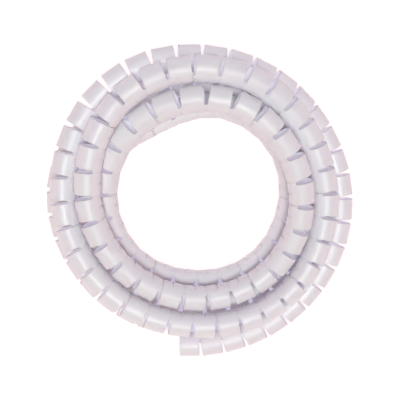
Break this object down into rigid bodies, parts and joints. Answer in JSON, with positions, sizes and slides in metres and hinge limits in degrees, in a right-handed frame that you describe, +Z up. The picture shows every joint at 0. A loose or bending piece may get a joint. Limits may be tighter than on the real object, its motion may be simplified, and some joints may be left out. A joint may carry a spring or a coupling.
{
  "type": "slotted tree guard tube",
  "caption": "White slotted plastic guard tube: short open rings on a flexible spine, stored as a loose flat coil whose free end unrolls ring by ring.",
  "frame": {"origin": "under the middle of the coil's bounding box, on the surface it lies on", "axes": "+Z up, along the coil's axis; the tube's free end is on the -Y side and its mouth faces -X"},
  "size_m": [0.3146, 0.3236, 0.0718],
  "materials": {
    "polyethylene": "satin, slightly translucent white polyethylene"
  },
  "bodies": {
    "coil": {"coil_stretch_01": "polyethylene", "coil_stretch_02": "polyethylene", "coil_stretch_03": "polyethylene", "coil_stretch_04": "polyethylene", "coil_stretch_05": "polyethylene", "coil_stretch_06": "polyethylene", "coil_stretch_07": "polyethylene", "coil_stretch_08": "polyethylene", "coil_stretch_09": "polyethylene", "coil_stretch_10": "polyethylene", "coil_stretch_11": "polyethylene", "coil_stretch_12": "polyethylene", "coil_stretch_13": "polyethylene", "coil_stretch_14": "polyethylene", "coil_stretch_15": "polyethylene", "coil_stretch_16": "polyethylene", "coil_stretch_17": "polyethylene", "coil_stretch_18": "polyethylene", "coil_stretch_19": "polyethylene", "coil_stretch_20": "polyethylene", "coil_stretch_21": "polyethylene", "coil_stretch_22": "polyethylene", "coil_stretch_23": "polyethylene", "coil_stretch_24": "polyethylene", "coil_stretch_25": "polyethylene", "coil_stretch_26": "polyethylene", "coil_stretch_27": "polyethylene", "coil_stretch_28": "polyethylene", "coil_stretch_29": "polyethylene", "coil_stretch_30": "polyethylene", "coil_stretch_31": "polyethylene", "coil_stretch_32": "polyethylene", "coil_stretch_33": "polyethylene", "coil_stretch_34": "polyethylene"},
    "free_ring_01": {"free_ring_01": "polyethylene"},
    "free_ring_02": {"free_ring_02": "polyethylene"},
    "free_ring_03": {"free_ring_03": "polyethylene"},
    "free_ring_04": {"free_ring_04": "polyethylene"},
    "free_ring_05": {"free_ring_05": "polyethylene"},
    "free_ring_06": {"free_ring_06": "polyethylene"},
    "free_ring_07": {"free_ring_07": "polyethylene"},
    "free_ring_08": {"free_ring_08": "polyethylene"},
    "free_ring_09": {"free_ring_09": "polyethylene"},
    "free_ring_10": {"free_ring_10": "polyethylene"},
    "free_ring_11": {"free_ring_11": "polyethylene"},
    "free_ring_12": {"free_ring_12": "polyethylene"},
    "free_ring_13": {"free_ring_13": "polyethylene"},
    "free_ring_14": {"free_ring_14": "polyethylene"}
  },
  "joints": [
    {"name": "hinge_01", "type": "hinge", "parent": "free_ring_02", "child": "free_ring_01", "pos_m": [0.0001, -0.13721, 0.01634], "axis": [-0.0775, 0.0018, 0.997], "range_deg": [0, 12], "stiffness_Nm_per_rad": 0.02},
    {"name": "hinge_02", "type": "hinge", "parent": "free_ring_03", "child": "free_ring_02", "pos_m": [0.0217, -0.13362, 0.01812], "axis": [-0.0803, -0.0099, 0.9967], "range_deg": [0, 11], "stiffness_Nm_per_rad": 0.02},
    {"name": "hinge_03", "type": "hinge", "parent": "free_ring_04", "child": "free_ring_03", "pos_m": [0.04259, -0.12678, 0.01991], "axis": [-0.0737, -0.0205, 0.9971], "range_deg": [0, 11], "stiffness_Nm_per_rad": 0.02},
    {"name": "hinge_04", "type": "hinge", "parent": "free_ring_05", "child": "free_ring_04", "pos_m": [0.06231, -0.11688, 0.02153], "axis": [-0.0576, -0.0257, 0.998], "range_deg": [0, 11], "stiffness_Nm_per_rad": 0.02},
    {"name": "hinge_05", "type": "hinge", "parent": "free_ring_06", "child": "free_ring_05", "pos_m": [0.08048, -0.10417, 0.02275], "axis": [-0.0348, -0.0221, 0.9992], "range_deg": [0, 11], "stiffness_Nm_per_rad": 0.02},
    {"name": "hinge_06", "type": "hinge", "parent": "free_ring_07", "child": "free_ring_06", "pos_m": [0.09671, -0.089, 0.0234], "axis": [-0.0138, -0.0118, 0.9998], "range_deg": [0, 11], "stiffness_Nm_per_rad": 0.02},
    {"name": "hinge_07", "type": "hinge", "parent": "free_ring_08", "child": "free_ring_07", "pos_m": [0.11048, -0.07161, 0.02359], "axis": [-0.0009, -0.0002, 1], "range_deg": [0, 12], "stiffness_Nm_per_rad": 0.02},
    {"name": "hinge_08", "type": "hinge", "parent": "free_ring_09", "child": "free_ring_08", "pos_m": [0.12137, -0.05235, 0.02344], "axis": [0.0045, 0.0091, 0.9999], "range_deg": [0, 12], "stiffness_Nm_per_rad": 0.02},
    {"name": "hinge_09", "type": "hinge", "parent": "free_ring_10", "child": "free_ring_09", "pos_m": [0.12897, -0.03164, 0.02313], "axis": [0.0044, 0.0132, 0.9999], "range_deg": [0, 13], "stiffness_Nm_per_rad": 0.02},
    {"name": "hinge_10", "type": "hinge", "parent": "free_ring_11", "child": "free_ring_10", "pos_m": [0.13295, -0.01, 0.02286], "axis": [0.0027, 0.024, 0.9997], "range_deg": [0, 13], "stiffness_Nm_per_rad": 0.02},
    {"name": "hinge_11", "type": "hinge", "parent": "free_ring_12", "child": "free_ring_11", "pos_m": [0.13308, 0.012, 0.02214], "axis": [-0.0016, 0.0415, 0.9991], "range_deg": [0, 13], "stiffness_Nm_per_rad": 0.02},
    {"name": "hinge_12", "type": "hinge", "parent": "free_ring_13", "child": "free_ring_12", "pos_m": [0.12943, 0.03376, 0.02103], "axis": [-0.0082, 0.0435, 0.999], "range_deg": [0, 12], "stiffness_Nm_per_rad": 0.02},
    {"name": "hinge_13", "type": "hinge", "parent": "free_ring_14", "child": "free_ring_13", "pos_m": [0.1222, 0.0547, 0.0201], "axis": [-0.0066, 0.0211, 0.9998], "range_deg": [0, 12], "stiffness_Nm_per_rad": 0.02},
    {"name": "hinge_14", "type": "hinge", "parent": "coil", "child": "free_ring_14", "pos_m": [0.11178, 0.07415, 0.01995], "axis": [-0.002, 0.0041, 1], "range_deg": [0, 12], "stiffness_Nm_per_rad": 0.02}
  ]
}
